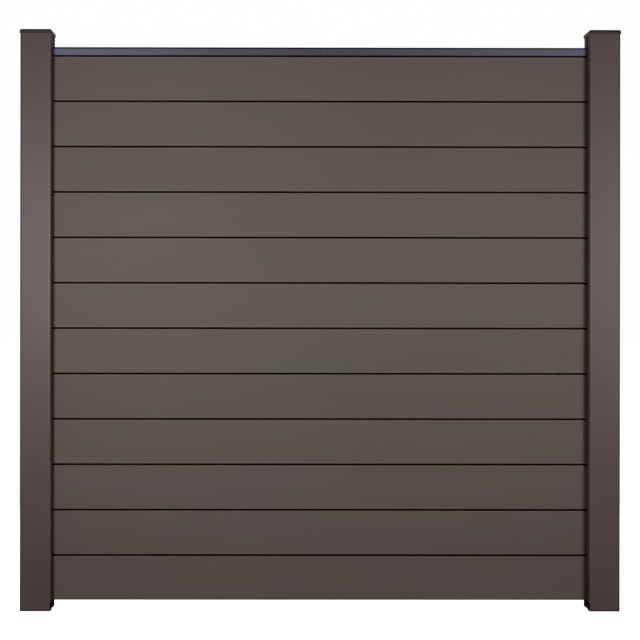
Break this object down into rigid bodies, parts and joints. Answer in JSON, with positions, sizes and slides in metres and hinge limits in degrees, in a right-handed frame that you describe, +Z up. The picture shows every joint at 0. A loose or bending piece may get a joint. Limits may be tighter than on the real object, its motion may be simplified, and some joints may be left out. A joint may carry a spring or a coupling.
{
  "type": "garden privacy screen",
  "caption": "Straight garden privacy screen: grooved square composite posts with flat caps hold a stack of tongue-and-groove boards under a slim metal top rail.",
  "frame": {"origin": "middle of the footprint, on the ground that the two posts stand on", "axes": "+X along the screen to the right as seen from the front, +Y from front to back, +Z up"},
  "size_m": [1.975, 0.105, 1.914],
  "materials": {
    "post_composite": "matte",
    "board_composite": "matte",
    "cap_plastic": "satin",
    "rail_aluminium": "satin",
    "galvanised_steel": "satin",
    "spacer_plastic": "matte",
    "bracket_steel": "satin",
    "screw_steel": "satin"
  },
  "bodies": {
    "root": {"left_post": "post_composite", "right_post": "post_composite", "left_post_cap": "cap_plastic", "right_post_cap": "cap_plastic", "left_core_tube": "galvanised_steel", "right_core_tube": "galvanised_steel", "left_board_spacer": "spacer_plastic", "right_board_spacer": "spacer_plastic", "left_rail_bracket": "bracket_steel", "right_rail_bracket": "bracket_steel", "left_core_screw_1": "screw_steel", "left_core_screw_2": "screw_steel", "left_core_screw_3": "screw_steel", "right_core_screw_1": "screw_steel", "right_core_screw_2": "screw_steel", "right_core_screw_3": "screw_steel", "left_bracket_post_screw": "screw_steel", "right_bracket_post_screw": "screw_steel", "left_bracket_rail_screw": "screw_steel", "right_bracket_rail_screw": "screw_steel", "fence_board_01": "board_composite", "fence_board_02": "board_composite", "fence_board_03": "board_composite", "fence_board_04": "board_composite", "fence_board_05": "board_composite", "fence_board_06": "board_composite", "fence_board_07": "board_composite", "fence_board_08": "board_composite", "fence_board_09": "board_composite", "fence_board_10": "board_composite", "fence_board_11": "board_composite", "fence_board_12": "board_composite", "top_rail": "rail_aluminium"}
  },
  "joints": []
}
